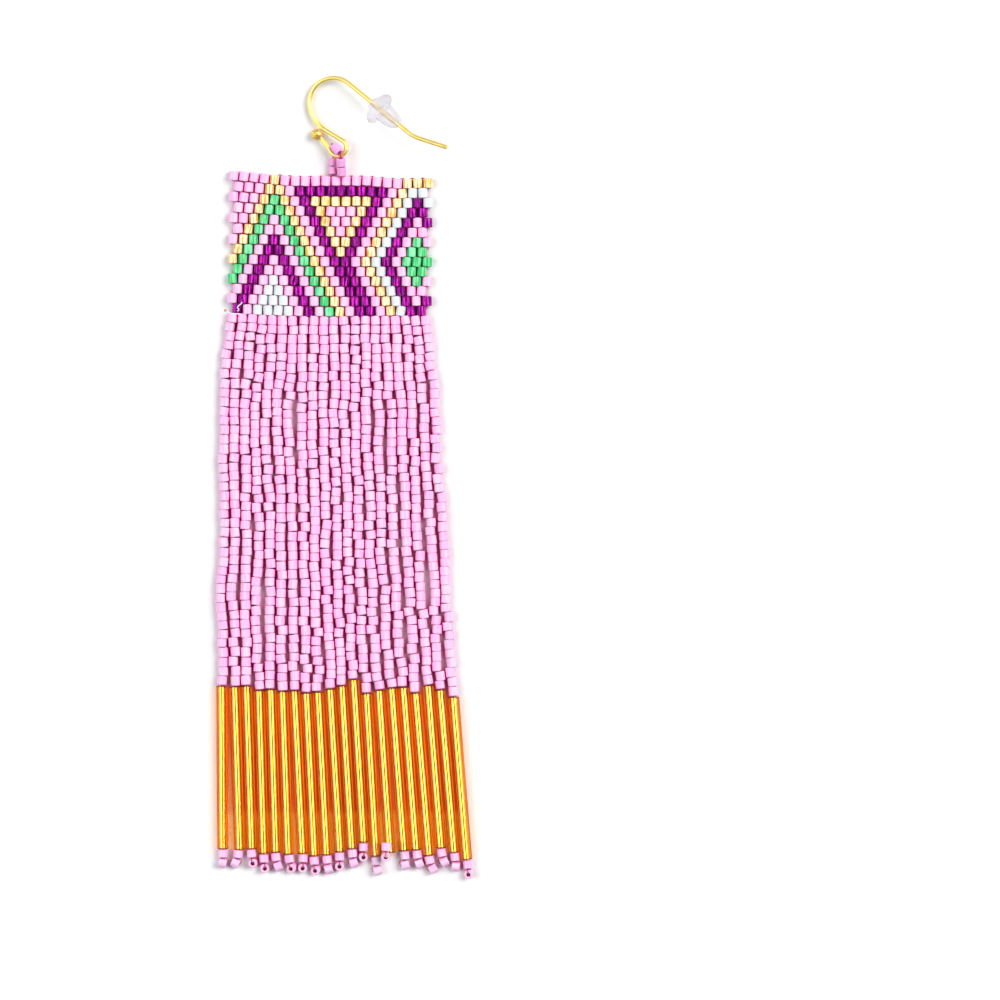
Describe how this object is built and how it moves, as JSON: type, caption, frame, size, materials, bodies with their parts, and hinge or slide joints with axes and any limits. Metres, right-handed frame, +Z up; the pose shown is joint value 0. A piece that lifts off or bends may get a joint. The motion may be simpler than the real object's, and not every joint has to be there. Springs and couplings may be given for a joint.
{
  "type": "beaded fringe earring on an ear hook",
  "caption": "Long drop earring: a flat woven bead panel with a straight bead fringe ending in glass tubes, on a wire ear hook with a clear sliding stopper.",
  "frame": {"origin": "on the table that the earring lies on, under the centre of its outline", "axes": "+X across the panel, +Y up the earring from its fringe to its ear hook, +Z up from the table"},
  "size_m": [0.0402, 0.1252, 0.0053],
  "materials": {
    "gold_wire": "polished gold-toned plating",
    "clear_silicone": "clear soft silicone",
    "pink_beads": "opaque, satin",
    "patterned_beads": "opaque and lined glass in pink, purple, gold, green and white",
    "amber_tubes": "amber glass lined with silver, glossy",
    "thread": "thin waxed beading thread"
  },
  "bodies": {
    "earring": {"ear_hook": "gold_wire", "hanger_beads": "pink_beads", "hanger_thread": "thread", "panel": "patterned_beads", "strand_01": "pink_beads", "strand_02": "pink_beads", "strand_03": "pink_beads", "strand_04": "pink_beads", "strand_05": "pink_beads", "strand_06": "pink_beads", "strand_07": "pink_beads", "strand_08": "pink_beads", "strand_09": "pink_beads", "strand_10": "pink_beads", "strand_11": "pink_beads", "strand_12": "pink_beads", "strand_13": "pink_beads", "strand_14": "pink_beads", "strand_15": "pink_beads", "strand_16": "pink_beads", "strand_17": "pink_beads", "strand_18": "pink_beads", "strand_19": "pink_beads", "strand_20": "pink_beads", "bugle_01": "amber_tubes", "bugle_02": "amber_tubes", "bugle_03": "amber_tubes", "bugle_04": "amber_tubes", "bugle_05": "amber_tubes", "bugle_06": "amber_tubes", "bugle_07": "amber_tubes", "bugle_08": "amber_tubes", "bugle_09": "amber_tubes", "bugle_10": "amber_tubes", "bugle_11": "amber_tubes", "bugle_12": "amber_tubes", "bugle_13": "amber_tubes", "bugle_14": "amber_tubes", "bugle_15": "amber_tubes", "bugle_16": "amber_tubes", "bugle_17": "amber_tubes", "bugle_18": "amber_tubes", "bugle_19": "amber_tubes", "bugle_20": "amber_tubes", "foot_beads": "pink_beads", "stop_beads": "pink_beads", "fringe_thread": "thread"},
    "stopper": {"stopper": "clear_silicone"}
  },
  "joints": [
    {"name": "stopper_slide", "type": "slide", "parent": "earring", "child": "stopper", "axis": [0.7616, -0.6334, 0.137], "range_m": [-0.0044, 0.0016]}
  ]
}
